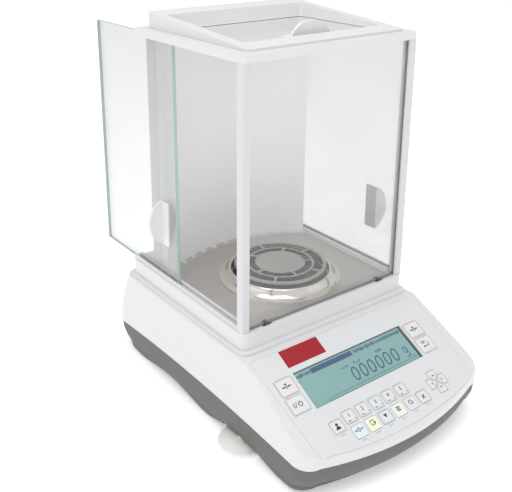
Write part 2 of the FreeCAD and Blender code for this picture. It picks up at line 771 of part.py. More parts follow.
def leverBeam():
    """The balance beam: a short arm to the hanger's side and a long arm back to the coil."""
    beam = block(-5, leverPivotY - leverArm, leverZ - 3, 5, coilY - coilRadius + 1, leverZ + 3)
    pin = Part.makeCylinder(leverPinRadius, 56, V(-28, leverPivotY, leverZ), V(1, 0, 0))
    return joined([beam, pin])


def forceCoil():
    outer = disc(0, coilY, leverZ - 6, leverZ + 3, coilRadius)
    ring = outer.cut(disc(0, coilY, leverZ - 7, leverZ + 4, coilRadius - 2))
    return ring.cut(leverBeam())


def magnetPot():
    """Permanent-magnet pot fixed behind the frame; the coil hangs in its ring gap."""
    low = loadCellFloorZ + 6
    pot = disc(0, coilY, low, leverZ - 9, coilRadius + 9)
    wall = disc(0, coilY, leverZ - 10, leverZ + 3, coilRadius + 9)
    wall = wall.cut(disc(0, coilY, leverZ - 10, leverZ + 3, coilRadius + 3))
    core = disc(0, coilY, leverZ - 10, leverZ + 2, coilRadius - 5)
    beamWay = block(-8, coilY - coilRadius - 12, leverZ - 6, 8, coilY - coilRadius + 4, leverZ + 10)
    shelf = roundedBlock(-24, 60, loadCellFloorZ, 24, coilY + 22, low, 5.0)
    return joined([pot, wall.cut(beamWay), core, shelf.cut(block(-60, 0, 0, 60, 62.2, 100))])


# ---- electronics and rear connectors ------------------------------------------------------------
jackZ = 50.0
jackX = -30.0
jackWidth = 11.6
serialX = 18.0
serialWidth = 31.6
connectorHeight = 12.0
boardTopZ = jackZ - connectorHeight / 2
boardHalf = caseHalfWidth - 26.0
boardFrontY = caseRearY - 50.0


def connectorBlock(x, width, grow):
    """A connector's body through the rear wall, or the hole for it."""
    half = width / 2 + grow
    tall = connectorHeight / 2 + grow
    return block(x - half, caseRearY - 26, jackZ - tall, x + half, caseRearY + 0.6, jackZ + tall)


def mainBoard():
    y = boardFrontY + 12
    board = block(-boardHalf, boardFrontY, boardTopZ - 1.6, boardHalf, caseRearY - 20, boardTopZ)
    board = board.cut(disc(0, coilY, 0, 100, coilRadius + 11))
    chips = [block(12 - boardHalf, y - 6, boardTopZ, 26 - boardHalf, y + 8, boardTopZ + 2),
             block(50, y - 6, boardTopZ, 62, y + 6, boardTopZ + 2)]
    chips += [disc(-46, y, boardTopZ, boardTopZ + 14, 5),
              disc(boardHalf - 10, y, boardTopZ, boardTopZ + 10, 4)]
    return joined([board] + chips)


def dcJack():
    bore = Part.makeCylinder(3.2, 11, V(jackX, caseRearY + 0.6, jackZ), V(0, -1, 0))
    pin = Part.makeCylinder(1.0, 10.5, V(jackX, caseRearY - 11, jackZ), V(0, 1, 0))
    return joined([connectorBlock(jackX, jackWidth, 0.0).cut(bore), pin])


def serialPort():
    mouth = block(serialX - 9, caseRearY - 5.4, jackZ - 4.2, serialX + 9, caseRearY + 2, jackZ + 4.2)
    pins = []
    for count, z in ((5, jackZ + 1.5), (4, jackZ - 1.5)):
        for number in range(count):
            x = serialX + (number - (count - 1) / 2) * 2.77
            pins.append(Part.makeCylinder(0.5, 5.2, V(x, caseRearY - 6, z), V(0, 1, 0)))
    return joined([connectorBlock(serialX, serialWidth, 0.0).cut(mouth)] + pins)


vialX = columnHalfWidth - 13.0
vialY = columnRearY + 9.5
vialRadius = 7.5


def levelVial():
    return disc(vialX, vialY, deckZ, deckZ + 4.5, vialRadius)


# ---- feet and fasteners -------------------------------------------------------------------------
def caseScrews():
    screws = []
    for x, y in bossPlaces:
        head = disc(x, y, caseBottomZ + 0.2, caseBottomZ + 0.2 + screwHeadHeight, screwHeadRadius)
        shank = disc(x, y, caseBottomZ + 1, caseBottomZ + screwLength, screwRadius)
        socket = hexBlock(x, y, caseBottomZ - 1, caseBottomZ + 1.2, 1.3)
        screws.append(joined([head, shank]).cut(socket))
    for x, z in columnScrewPlaces:
        shank = Part.makeCylinder(screwRadius, columnScrewLength + 1, V(x, columnRearY + 0.5, z), V(0, -1, 0))
        top = V(x, columnRearY + screwHeadHeight, z)
        head = Part.makeCylinder(screwHeadRadius, screwHeadHeight, top, V(0, -1, 0))
        screws.append(joined([head, shank]))
    return Part.makeCompound(screws)


def hexBlock(x, y, z0, z1, radius):
    points = [V(x + radius * cos(i * pi / 3), y + radius * sin(i * pi / 3), z0) for i in range(6)]
    return polyBlock(points, V(0, 0, z1 - z0))


def footInserts():
    """Threaded brass inserts that carry the two levelling feet."""
    low = footBossTopZ - insertHeight
    bore = footStemRadius + footStemFit
    inserts = []
    for x, y in footPlaces:
        sleeve = disc(x, y, low, footBossTopZ, insertRadius)
        inserts.append(sleeve.cut(disc(x, y, low - 1, footBossTopZ + 1, bore)))
    return Part.makeCompound(inserts)


notchCount = 16
domeHeight = 2.6
footPadRadius = 14.0
footPadFit = 0.1
padSpigot = 1.2
stemTopZ = footBossTopZ + 4.0


def footWheel(x, y):
    """White hand wheel with its threaded stem; grip notches round the rim."""
    low = footWheelBottomZ
    high = low + footWheelHeight
    rim = disc(x, y, low, high - domeHeight, footRadius)
    dome = Part.makeCone(footRadius, footRadius / 2, domeHeight, V(x, y, high - domeHeight), V(0, 0, 1))
    stem = disc(x, y, high - 1, stemTopZ, footStemRadius)
    wheel = joined([rim, dome, stem])
    notches = []
    for number in range(notchCount):
        turn = 2 * pi * (number + 0.5) / notchCount
        notches.append(disc(x + footRadius * cos(turn), y + footRadius * sin(turn), low - 1, high + 1, 0.9))
    wheel = wheel.cut(notches)
    return wheel.cut(disc(x, y, low - 1, low + padSpigot + 0.2, footPadRadius - 4 + footPadFit))


def footPad(x, y):
    """Rubber pad that stands still while the wheel turns on its spigot."""
    plate = disc(x, y, 0, footWheelBottomZ - footPadFit, footPadRadius)
    return joined([plate, disc(x, y, 0, footWheelBottomZ + padSpigot, footPadRadius - 4)])


def rearFeet():
    return Part.makeCompound([disc(x, rearFootY, 0, caseBottomZ + 1.2, rearFootRadius)
                              for x in (-rearFootX, rearFootX)])


# ---- write every piece --------------------------------------------------------------------------
pieces = {
    "lower_housing": lowerHousing,
    "upper_housing": upperHousing,
    "control_overlay": controlOverlay,
    "keypad_membrane": keypadMembrane,
    "lcd_window": lcdWindow,
    "lcd_module": lcdModule,
    "display_board": displayBoard,
    "chamber_base": chamberBase,
    "floor_plate": floorPlate,
    "glass_seats": glassSeats,
    "front_glass": frontGlass,
    "column_wall": columnWallShell,
    "column_cover": columnCover,
    "lid_frame": lidFrame,
    "top_door_glass": topDoorGlass,
    "top_door_handle": topDoorHandle,
    "weighing_pan": weighingPan,
    "draft_ring": draftRing,
    "pan_support": panSupport,
    "load_cell_frame": loadCellFrame,
    "lever_beam": leverBeam,
    "force_coil": forceCoil,
    "magnet_pot": magnetPot,
    "main_board": mainBoard,
    "dc_jack": dcJack,
    "serial_port": serialPort,
    "level_vial": levelVial,
    "case_screws": caseScrews,
    "foot_inserts": footInserts,
    "rear_feet": rearFeet,
}

os.makedirs("parts", exist_ok=True)
for name, make in pieces.items():
    save(name, make())
for name, side in (("left", -1), ("right", 1)):
    save("post_" + name, cornerPost(side))
    save(name + "_door_glass", sideDoorGlass(side))
    save(name + "_door_handle", sideDoorHandle(side))
    save("foot_wheel_" + name, footWheel(side * footX, footY))
    save("foot_pad_" + name, footPad(side * footX, footY))
for name in keyNames:
    save(name, keyPad(name))
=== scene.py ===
# Analytical balance with a glass draft chamber: the looks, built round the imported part.
import json
import math
import random

import bmesh
import bpy
from mathutils import Matrix, Vector


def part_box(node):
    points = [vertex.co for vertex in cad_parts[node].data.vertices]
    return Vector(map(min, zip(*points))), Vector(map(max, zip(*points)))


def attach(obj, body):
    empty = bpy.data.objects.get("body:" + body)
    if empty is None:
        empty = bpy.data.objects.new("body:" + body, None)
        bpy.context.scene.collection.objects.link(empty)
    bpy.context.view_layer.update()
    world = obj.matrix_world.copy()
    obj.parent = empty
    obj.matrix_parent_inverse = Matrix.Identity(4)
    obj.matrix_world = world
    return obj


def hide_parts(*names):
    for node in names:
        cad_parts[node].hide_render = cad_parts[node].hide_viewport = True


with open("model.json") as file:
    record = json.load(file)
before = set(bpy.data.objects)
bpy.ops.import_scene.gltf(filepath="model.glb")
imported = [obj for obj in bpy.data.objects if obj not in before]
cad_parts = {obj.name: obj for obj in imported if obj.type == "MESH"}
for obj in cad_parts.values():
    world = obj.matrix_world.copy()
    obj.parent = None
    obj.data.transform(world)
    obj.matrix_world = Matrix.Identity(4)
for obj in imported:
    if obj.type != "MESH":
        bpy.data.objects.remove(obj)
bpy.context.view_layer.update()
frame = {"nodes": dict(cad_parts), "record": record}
nodes = frame["nodes"]
mm = 0.001
print("frame loaded:", len(nodes), "nodes")


class Wire:  # one output socket, so that shader maths reads as sums
    def __init__(self, finish, socket):
        self.finish = finish
        self.socket = socket

    def other(self, output):  # another output of the same node
        return Wire(self.finish, self.socket.node.outputs[output])

    def math(self, operation, *values):
        return self.finish.node("Math", {"operation": operation}, dict(enumerate(values)))

    def __add__(self, other):
        return self.math("ADD", self, other)

    def __sub__(self, other):
        return self.math("SUBTRACT", self, other)

    def __rsub__(self, other):
        return self.math("SUBTRACT", other, self)

    def __mul__(self, other):
        return self.math("MULTIPLY", self, other)

    def __pow__(self, other):
        return self.math("POWER", self, other)

    def __lt__(self, other):
        return self.math("LESS_THAN", self, other)

    __radd__ = __add__
    __rmul__ = __mul__


class Finish:  # one material and the nodes that make it
    def __init__(self, name):
        self.material = bpy.data.materials.new(name)
        self.material.use_nodes = True
        self.tree = self.material.node_tree
        self.tree.nodes.clear()

    def node(self, kind, settings=None, values=None, output=0):
        made = self.tree.nodes.new("ShaderNode" + kind)
        for key, value in (settings or {}).items():
            setattr(made, key, value)
        for key, value in (values or {}).items():
            if isinstance(value, Wire):
                self.tree.links.new(value.socket, made.inputs[key])
            else:
                made.inputs[key].default_value = value
        return Wire(self, made.outputs[output]) if len(made.outputs) else None

    def places(self, scale=(1, 1, 1)):
        coordinates = self.node("TexCoord", output=3)
        return self.node("Mapping", None, {0: coordinates, 3: scale})

    def noise(self, scale, detail=3.0, where=None):
        return self.node("TexNoise", None, {
            "Vector": where or self.places(), "Scale": scale, "Detail": detail, "Roughness": 0.55})

    def range(self, value, low, high):  # noise spread over low to high
        return self.node("MapRange", None, {0: value, 1: 0.25, 2: 0.75, 3: low, 4: high})

    def around(self, value, middle, below, above):  # the same, over shares of a middle value
        return self.range(value, middle * (1 - below), middle * (1 + above))

    def blend(self, factor, low, high):
        return self.node("Mix", {"data_type": "RGBA"}, {0: factor, 6: low, 7: high}, 2)

    def bump(self, height, strength, distance):
        return self.node("Bump", None, {
            "Height": height, "Strength": strength, "Distance": distance})

    def show(self, shader):
        self.node("OutputMaterial", None, {0: shader})
        return self.material


def rgb(red, green, blue):  # screen values 0-255 to the linear values that shaders take
    return tuple(((c / 255 + 0.055) / 1.055) ** 2.4 for c in (red, green, blue)) + (1,)


def shade(colour, factor):
    return tuple(min(1, c * factor) for c in colour[:3]) + (1,)


relief = {"moulded": 0.0002, "metal": 0.0001}  # full depth of the fine grain, in metres


# moulded plastic, paint, rubber or cast metal: soft clouds in the colour and a fine grain
def moulded(name, colour, roughness, grain=1500, depth=0.06, mottle=0.03, coat=0.0, metallic=0.0,
            glow=0.0):
    f = Finish(name)
    grainShare = 0.5
    clouds = f.noise(14, 4)
    fine = f.noise(grain, 2)
    tone = f.blend(f.range(clouds, 0, 1), shade(colour, 1 - mottle), shade(colour, 1 + mottle))
    uneven = clouds + grainShare * fine - grainShare / 2
    return f.show(f.node("BsdfPrincipled", None, {
        "Base Color": tone, "Roughness": f.around(uneven, roughness, 0.12, 0.14),
        "Metallic": metallic, "IOR": 1.5,
        "Coat Weight": coat, "Coat Roughness": 0.12,
        "Emission Color": (1, 1, 1, 1), "Emission Strength": glow,
        "Normal": f.bump(fine, depth, relief["moulded"])}))


# metal with straight drawn lines across the direction that has the large numbers; an optional
# radius in metres paints the pan's shadow on it, a dark disc about the pan's axis
def brushed(name, colour, roughness, along=(8, 900, 900), depth=0.12, contrast=0.10, panShadowRadius=0.0):
    f = Finish(name)
    dullShare, dullShade, panShadowFactor = 0.25, 0.9, 0.14
    lines = f.noise(1.0, 5, f.places(along))
    clouds = f.noise(9, 3)
    tone = f.blend(f.range(lines, 0, 1), shade(colour, 1 - contrast), shade(colour, 1 + contrast))
    tone = f.blend(f.range(clouds, 0, dullShare), tone, shade(colour, dullShade))
    # painted shadow of the pan: inside the given radius about the axis the plate drops to a small
    # share of its colour
    if panShadowRadius:
        x = f.node("SeparateXYZ", None, {0: f.places()})
        y = x.other(1)
        tone = f.blend(x * x + y * y < panShadowRadius * panShadowRadius, tone, shade(colour, panShadowFactor))
    return f.show(f.node("BsdfPrincipled", None, {
        "Base Color": tone, "Metallic": 1.0,
        "Roughness": f.around(lines, roughness, 0.25, 0.3),
        "Normal": f.bump(lines, depth, relief["metal"])}))


# metal turned on a lathe about the pan's axis
def turned(name, colour, roughness, rings=2600, depth=0.05, contrast=0.06):
    f = Finish(name)
    climb, cloudShare = 0.2, 0.6  # climb lets the circles go on up a steep wall
    x = f.node("SeparateXYZ", None, {0: f.places()})
    y, z = x.other(1), x.other(2)
    radius = (x * x + y * y) ** 0.5
    circles = f.node("TexNoise", {"noise_dimensions": "1D"},
                     {"W": radius + climb * z, "Scale": rings, "Detail": 3})
    clouds = f.noise(30, 3)
    tone = f.blend(f.range(circles, 0, 1), shade(colour, 1 - contrast), shade(colour, 1 + contrast))
    uneven = cloudShare * clouds + (1 - cloudShare) * circles
    return f.show(f.node("BsdfPrincipled", None, {
        "Base Color": tone, "Metallic": 1.0,
        "Roughness": f.around(uneven, roughness, 0.3, 0.3),
        "Normal": f.bump(circles, depth, relief["metal"])}))


# clear sheet: light goes straight through, less a share that mirrors and a faint smear;
# the mirrored share grows towards the edge of sight in the same way from both faces
def glazing(name, tint, body, haze=0.05, mirror=1.0):
    f = Finish(name)
    straightOn = 0.04
    facing = f.node("LayerWeight", None, {"Blend": 0.5}, 1)
    edge = straightOn + (1 - straightOn) * facing ** 5
    smear = f.noise(11, 3)
    share = edge * mirror + f.around(smear, haze, 0.15, 0.15)
    clear = f.node("BsdfTransparent", None, {"Color": tint})
    gloss = f.node("BsdfPrincipled", None, {
        "Base Color": body, "Metallic": 1.0, "Roughness": f.range(smear, 0.02, 0.05)})
    return f.show(f.node("MixShader", None, {0: share, 1: clear, 2: gloss}))


finishes = {
    "white_plastic": moulded("whitePlastic", rgb(221, 220, 222), 0.34, 900, 0.05, 0.008, 0.15),
    "grey_plastic": moulded("greyPlastic", rgb(101, 99, 97), 0.55, 2600, 0.22, 0.04),
    "panel_film": moulded("panelFilm", rgb(218, 220, 222), 0.38, 3200, 0.06, 0.008),
    "key_film": moulded("keyFilm", rgb(223, 224, 226), 0.36, 3200, 0.06, 0.008),
    "membrane_film": moulded("membraneFilm", rgb(196, 199, 190), 0.45, 1200, 0.05),
    "clear_window": glazing("clearWindow", (0.98, 0.99, 0.99, 1), (0.9, 0.9, 0.9, 1), 0.01),
    "lcd_glass": moulded("lcdGlass", rgb(140, 183, 181), 0.3, 2400, 0.05, 0.05),
    "board": moulded("circuitBoard", rgb(38, 92, 52), 0.5, 700, 0.15, 0.12),
    "clear_glass": glazing("clearGlass", (0.974, 0.978, 0.975, 1), (0.94, 0.95, 0.945, 1), 0.02),
    "white_rail": moulded("whiteRail", rgb(229, 228, 231), 0.3, 700, 0.03, 0.006, 0.1),
    # the floor plate carries a painted shadow of the pan out to a radius of 46.8 mm
    "steel_plate": brushed("brushedFloorPlate", rgb(206, 202, 198), 0.42, panShadowRadius=0.0468),
    "polished_steel": turned("polishedSteel", rgb(226, 220, 212), 0.13, 1500, 0.03),
    "satin_steel": turned("satinSteel", rgb(175, 171, 167), 0.3, 4200, 0.06),
    "cast_alloy": moulded("castAlloy", rgb(168, 168, 170), 0.5, 500, 0.3, 0.08, 0, 1.0),
    "magnet_coat": moulded("magnetCoat", rgb(84, 86, 92), 0.35, 900, 0.1, 0.05, 0, 1.0),
    "copper_coil": brushed("copperWinding", rgb(190, 112, 66), 0.3, (300, 300, 5200), 0.6, 0.3),
    "black_rubber": moulded("blackRubber", rgb(34, 34, 35), 0.8, 1800, 0.3, 0.1),
    "grey_rubber": moulded("greyRubber", rgb(92, 92, 92), 0.85, 1800, 0.3, 0.1),
    "connector_body": moulded("connectorBody", rgb(36, 37, 40), 0.5, 1600, 0.15, 0.08),
    "connector_shell": moulded("connectorShell", rgb(176, 174, 166), 0.34, 800, 0.08, 0.05, 0, 1.0),
    "vial_glass": moulded("vialLiquid", rgb(196, 214, 92), 0.16, 500, 0.02, 0.03, 0.8),
    "zinc_screw": turned("zincScrew", rgb(188, 186, 180), 0.28, 900, 0.05),
    "brass_insert": moulded("brassInsert", rgb(196, 160, 96), 0.34, 900, 0.1, 0.06, 0, 1.0),
    "foot_plastic": moulded("footPlastic", rgb(240, 239, 236), 0.42, 1400, 0.1, 0.02),
}
slotNames = {material: slot for slot, material in finishes.items()}
variants = {  # finishes that stand in for a slot's own one on some pieces
    # painted light: a brightened copy of the white plastic for parts that stand in the chamber's
    # shade
    "chamber": moulded("paintedLightWhite", rgb(247, 246, 247), 0.36, 900, 0.05, 0.006, 0.1),
    # painted shade: a darkened copy of the white plastic for the posts
    "post": moulded("paintedShadeWhite", rgb(213, 212, 214), 0.32, 700, 0.03, 0.006, 0.1),
    "door": glazing("doorGlass", (0.972, 0.976, 0.974, 1), (0.58, 0.59, 0.59, 1), 0.17),
    "roof": glazing("roofGlass", (0.95, 0.955, 0.955, 1), (0.93, 0.94, 0.945, 1), 0.05, 2.6),
    "frontEdge": moulded("frontGlassEdge", rgb(128, 134, 130), 0.25, 600, 0.05, 0.08, 0.3),
    "edge": moulded("glassEdge", rgb(172, 198, 186), 0.2, 600, 0.05, 0.08, 0.3),
}
inks = {
    "black": moulded("blackInk", rgb(52, 52, 56), 0.5, 2500, 0.05, 0.1),
    "grey": moulded("greyInk", rgb(168, 168, 172), 0.5, 2500, 0.05, 0.05),
    "red": moulded("redInk", rgb(206, 106, 112), 0.5, 2500, 0.05, 0.05),
    "blue": moulded("blueInk", rgb(118, 142, 200), 0.5, 2500, 0.05, 0.05),
    "paleBlue": moulded("paleBlueInk", rgb(222, 233, 240), 0.5, 2500, 0.05, 0.02),
    "yellow": moulded("yellowInk", rgb(243, 241, 214), 0.5, 2500, 0.05, 0.02),
    "green": moulded("paleGreenInk", rgb(230, 238, 226), 0.5, 2500, 0.05, 0.02),
    "rose": moulded("roseInk", rgb(232, 196, 198), 0.5, 2500, 0.05, 0.02),
    "badge": moulded("badgeRed", rgb(160, 6, 26), 0.45, 1800, 0.05, 0.03),
    "navy": moulded("navyInk", rgb(44, 82, 128), 0.45, 1800, 0.04, 0.05),
}
for thing in nodes.values():
    for place, old in enumerate(thing.data.materials):
        thing.data.materials[place] = finishes[old.name.split(".")[0]]
print("finishes made:", len(finishes) + len(variants) + len(inks))


def bodyOf(node):
    bodies = frame["record"]["behaviour"]["bodies"]
    return next(body for body, members in bodies.items() if node in members)


def slotOf(node):
    return slotNames[nodes[node].data.materials[0]]


def finished(name, bm, body, slot, *materials, replaces=(), smooth=None, turn=None):
    if turn:
        bmesh.ops.transform(bm, matrix=turn, verts=bm.verts)
    mesh = bpy.data.meshes.new(name)
    if smooth is not None:  # edges sharper than this many degrees stay sharp
        for face in bm.faces:
            face.smooth = True
        for edge in bm.edges:
            edge.smooth = (len(edge.link_faces) == 2
                           and edge.calc_face_angle(0) < math.radians(smooth))
    bm.to_mesh(mesh)
    bm.free()
    piece = bpy.data.objects.new(name, mesh)
    bpy.context.scene.collection.objects.link(piece)
    for material in materials or (finishes[slot],):
        mesh.materials.append(material)
    if smooth is not None:
        level = piece.modifiers.new("evenShading", "WEIGHTED_NORMAL")
        level.keep_sharp = True
    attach(piece, body)
    if replaces:
        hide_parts(*replaces)
    return piece


def softBevel(bm, edges, radius, segments, clamp=True):
    bmesh.ops.bevel(bm, geom=edges, offset=radius * mm, offset_type="OFFSET", affect="EDGES",
                    segments=segments, profile=0.5, material=-1, clamp_overlap=clamp)


def merged(node):  # a copy of a CAD node as one closed mesh
    bm = bmesh.new()
    bm.from_mesh(nodes[node].data)
    bmesh.ops.remove_doubles(bm, verts=bm.verts, dist=2e-6)
    return bm


def sharpEdges(bm, sharpest=35):
    return [e for e in bm.edges if len(e.link_faces) == 2 and e.is_convex
            and e.calc_face_angle(0) > math.radians(sharpest)]


def softened(node, radius, segments, finish=(), first=None):  # the CAD shape, edges rounded
    bm = merged(node)
    if first:  # edges that get a rounding of their own before the rest
        test, wide, steps = first
        softBevel(bm, [e for e in sharpEdges(bm) if test(e)], wide, steps, False)
    softBevel(bm, sharpEdges(bm), radius, segments)
    return finished(node + "_soft", bm, bodyOf(node), slotOf(node), *finish,
                    replaces=(node,), smooth=40)


glass = {"arris": 0.35, "square": 0.98, "panes": {  # each pane: finish of its sheet, of its edges
    "front_glass": (finishes["clear_glass"], variants["frontEdge"]),
    "left_door_glass": (variants["door"], variants["edge"]),
    "right_door_glass": (variants["door"], variants["edge"]),
    "top_door_glass": (variants["roof"], variants["edge"])}}
for node, sheets in glass["panes"].items():
    low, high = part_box(node)
    size = high - low
    thin = min(range(3), key=lambda k: size[k])
    bm = bmesh.new()
    bmesh.ops.create_cube(bm, size=1)
    bmesh.ops.scale(bm, vec=size, verts=bm.verts)
    bmesh.ops.translate(bm, vec=(low + high) / 2, verts=bm.verts)
    softBevel(bm, bm.edges[:], glass["arris"], 1)
    for face in bm.faces:  # a face square to the sheet's thickness is the sheet, the rest are edges
        face.material_index = 0 if abs(face.normal[thin]) > glass["square"] else 1
    finished(node + "_pane", bm, bodyOf(node), "clear_glass", *sheets, replaces=(node,))
print("glass panes made:", len(glass["panes"]))


# the sloped console, in mm and degrees; ink is the prints' thickness
console = {"tilt": 28, "frontY": -180.0, "frontZ": 35.9, "ink": 0.05}
panelTurn = (Matrix.Translation((0, console["frontY"] * mm, console["frontZ"] * mm))
             @ Matrix.Rotation(math.radians(console["tilt"]), 4, "X"))


def panelBox(node):  # a node's lowest and highest corners in the console's own directions, in mm
    back = panelTurn.inverted()
    spots = [back @ v.co for v in nodes[node].data.vertices]
    return ([min(p[k] for p in spots) / mm for k in range(3)],
            [max(p[k] for p in spots) / mm for k in range(3)])


def putInk(bm, made, x, y, turn=0.0, stretch=1.0):
    bmesh.ops.scale(bm, vec=(1, stretch, 1), verts=made)
    bmesh.ops.rotate(bm, matrix=Matrix.Rotation(math.radians(turn), 3, "Z"), verts=made)
    bmesh.ops.translate(bm, vec=(x, y, 0), verts=made)
    return made


def inkBar(bm, x, y, wide, tall, turn=0.0):
    made = bmesh.ops.create_grid(bm, x_segments=1, y_segments=1, size=0.5)["verts"]
    bmesh.ops.scale(bm, vec=(wide, tall, 1), verts=made)
    return putInk(bm, made, x, y, turn)


def inkDisc(bm, x, y, radius, sides=24, stretch=1.0, turn=0.0):
    made = bmesh.ops.create_circle(bm, cap_ends=True, radius=radius, segments=sides)["verts"]
    return putInk(bm, made, x, y, turn, stretch)


def inkDome(bm, x, y, radius, stretch):  # the upper half of a disc
    made = bmesh.ops.create_circle(bm, cap_ends=True, radius=radius, segments=24)["verts"]
    for vert in made:
        vert.co.y = max(vert.co.y, 0)
    return putInk(bm, made, x, y, 0, stretch)


def inkRing(bm, x, y, radius, line, stretch=1.0, gaps=(), lean=0.0):  # gaps in degrees
    rims = []
    for r in (radius - line, radius):
        verts = bmesh.ops.create_circle(bm, cap_ends=False, radius=1, segments=40)["verts"]
        bmesh.ops.scale(bm, vec=(r, r + radius * (stretch - 1), 1), verts=verts)
        rims.append(verts)
    loops = {e for verts in rims for v in verts for e in v.link_edges}
    faces = bmesh.ops.bridge_loops(bm, edges=list(loops))["faces"]
    gone = []
    for face in faces:
        u, v = face.calc_center_median()[:2]
        angle = math.degrees(math.atan2(v, u))
        if any(low < angle + full < high for low, high in gaps for full in (0, 360)):
            gone.append(face)
    if gone:
        bmesh.ops.delete(bm, geom=gone, context="FACES")
    verts = [v for rim in rims for v in rim if v.is_valid]
    leaning = Matrix(((1, lean, 0, x), (0, 1, 0, y), (0, 0, 1, 0), (0, 0, 0, 1)))
    bmesh.ops.transform(bm, matrix=leaning, verts=verts)


arrow = {"head": 0.36, "headAt": 0.33, "shaft": 0.62, "shaftAt": -0.17, "line": 0.2}


def inkArrow(bm, x, y, length, turn):  # a short shaft with a head, pointing along turn
    head = bmesh.ops.create_circle(bm, cap_ends=True, radius=length * arrow["head"],
                                   segments=3)["verts"]
    bmesh.ops.rotate(bm, matrix=Matrix.Rotation(math.radians(-90), 3, "Z"), verts=head)
    bmesh.ops.translate(bm, vec=(length * arrow["headAt"], 0, 0), verts=head)
    shaft = inkBar(bm, length * arrow["shaftAt"], 0, length * arrow["shaft"],
                   length * arrow["line"])
    putInk(bm, head + shaft, x, y, turn)


def inkChevron(bm, x, y, size, line, turn):  # two arms that meet at a tip along turn
    apart, lean = 0.34, 45
    arms = []
    for side in (-1, 1):
        arms += inkBar(bm, 0, side * size * apart, size, line, -side * lean)
    putInk(bm, arms, x, y, turn)


def inkText(bm, x, y, words, size, squeeze=1.0, bold=0.0):
    curve = bpy.data.curves.new("figures", "FONT")
    curve.body = words
    curve.size = size
    curve.offset = bold
    curve.align_x = "CENTER"
    curve.align_y = "CENTER"
    holder = bpy.data.objects.new("figures", curve)
    mesh = bpy.data.meshes.new_from_object(holder)
    before = set(bm.verts)
    bm.from_mesh(mesh)
    made = [v for v in bm.verts if v not in before]
    bmesh.ops.scale(bm, vec=(squeeze, 1, 1), verts=made)
    bmesh.ops.translate(bm, vec=(x, y, 0), verts=made)
    bpy.data.objects.remove(holder)
    bpy.data.meshes.remove(mesh)
    bpy.data.curves.remove(curve)


strokeKinds = {"bar": inkBar, "disc": inkDisc, "dome": inkDome, "ring": inkRing,
               "arrow": inkArrow, "chevron": inkChevron, "text": inkText}


def drawStrokes(bm, strokes, x=0.0, y=0.0):  # each stroke: kind, place across, place up, the rest
    for kind, across, up, *rest in strokes:
        strokeKinds[kind](bm, x + across, y + up, *rest)


def raised(bm, height):  # flat shapes become thin solids
    upper = bmesh.ops.extrude_face_region(bm, geom=bm.faces[:])["geom"]
    upper = [g for g in upper if isinstance(g, bmesh.types.BMVert)]
    bmesh.ops.translate(bm, vec=(0, 0, height), verts=upper)
    bmesh.ops.recalc_face_normals(bm, faces=bm.faces[:])


def printed(name, bm, material, node, height=0.0, slot="key_film"):  # ink on a node's top
    bmesh.ops.remove_doubles(bm, verts=bm.verts, dist=1e-5)
    raised(bm, console["ink"])
    bmesh.ops.scale(bm, vec=(mm, mm, mm), verts=bm.verts)
    top = panelBox(node)[1][2]
    turn = panelTurn @ Matrix.Translation((0, 0, (top + height) * mm))
    return finished(name, bm, bodyOf(node), slot, material, turn=turn)


signs = {  # the marks on the keys, in mm about each key's middle
    "tare": [("arrow", -3.3, 0, 3.8, 0), ("bar", 0, 0, 0.8, 4.4),
             ("bar", 0, 2.5, 2.8, 0.8), ("arrow", 3.3, 0, 3.8, 180)],
    "power": [("bar", -4.3, 0, 0.7, 4.2), ("bar", -2.2, 0, 0.6, 4.8, -22),
              ("ring", 2.2, -0.2, 2.3, 0.7, 1.0, ((65, 115),)), ("bar", 2.2, 1.4, 0.7, 2.4)],
    "enter": [("bar", 0.6, -1.6, 5.4, 0.7), ("bar", 3.2, 0.3, 0.7, 3.2),
              ("disc", -2.7, -1.6, 1.35, 3, 1.0, 90), ("bar", -1.2, 3.3, 5.6, 0.7),
              ("bar", -1.6, 1.8, 4.0, 0.7)],
    "user": [("disc", 0, 1.6, 1.35), ("dome", 0, -2.6, 2.5, 1.1)],
    "zero": [("arrow", -3.5, 1, 2.9, 0), ("ring", 0, 1, 1.25, 0.6, 1.5),
             ("arrow", 3.5, 1, 2.9, 180)],
    "sheet": [("bar", -1.8, 1, 0.6, 4.2), ("bar", 1.8, 1, 0.6, 4.2), ("bar", 0, 3, 3.0, 0.6),
              ("bar", 0, -1, 3.0, 0.6), ("arrow", 1.6, 0.4, 2.8, 0)],
    "down": [("disc", 0, 1.2, 2.3, 3, 1.0, 180)],
    "menu": [("bar", 0, 2.4, 4.0, 0.9), ("bar", 0, 0.9, 4.0, 0.9), ("bar", 0, -0.6, 4.0, 0.9)],
    "cycle": [("ring", 0, 1, 2.1, 0.65, 1.0, ((-16, 16), (164, 196))),
              ("disc", 1.75, 0.6, 0.95, 3, 1.0, 180), ("disc", -1.75, 1.4, 0.95, 3, 1.0, 0)],
    "cross": [("bar", 0, 0, 4.6, 0.8, 45), ("bar", 0, 0, 4.6, 0.8, -45)],
}
for sign, turn in (("up", 90), ("left", 180), ("downward", 270), ("right", 0)):
    signs[sign] = [("chevron", 0, 0, 2.0, 0.6, turn)]
for digit in "12345":
    signs[digit] = [("text", 0, 0.9, digit, 4.9, 0.9, 0.08), ("bar", -2.4, -3.6, 3.0, 0.6),
                    ("bar", 4.4, -3.4, 0.9, 0.9)]

keys = {  # key: ink of its outline, ink of its field, sign
    "key_tare_left": ("red", None, "tare"), "key_power": ("grey", None, "power"),
    "key_tare_right": ("red", None, "tare"), "key_enter": ("grey", None, "enter"),
    "key_user": ("grey", None, "user"), "key_zero": ("paleBlue", "paleBlue", "zero"),
    "key_print": ("yellow", "yellow", "sheet"), "key_calibrate": ("blue", None, "down"),
    "key_menu": ("green", "green", "menu"), "key_units": ("rose", None, "cycle"),
    "key_clear": ("red", None, "cross"), "key_up": ("grey", None, "up"),
    "key_left": ("grey", None, "left"), "key_down": ("grey", None, "downward"),
    "key_right": ("grey", None, "right"),
}
for digit in "12345":
    keys["key_f" + digit] = ("grey", None, digit)
outline = {"line": 0.36, "inset": 0.5}


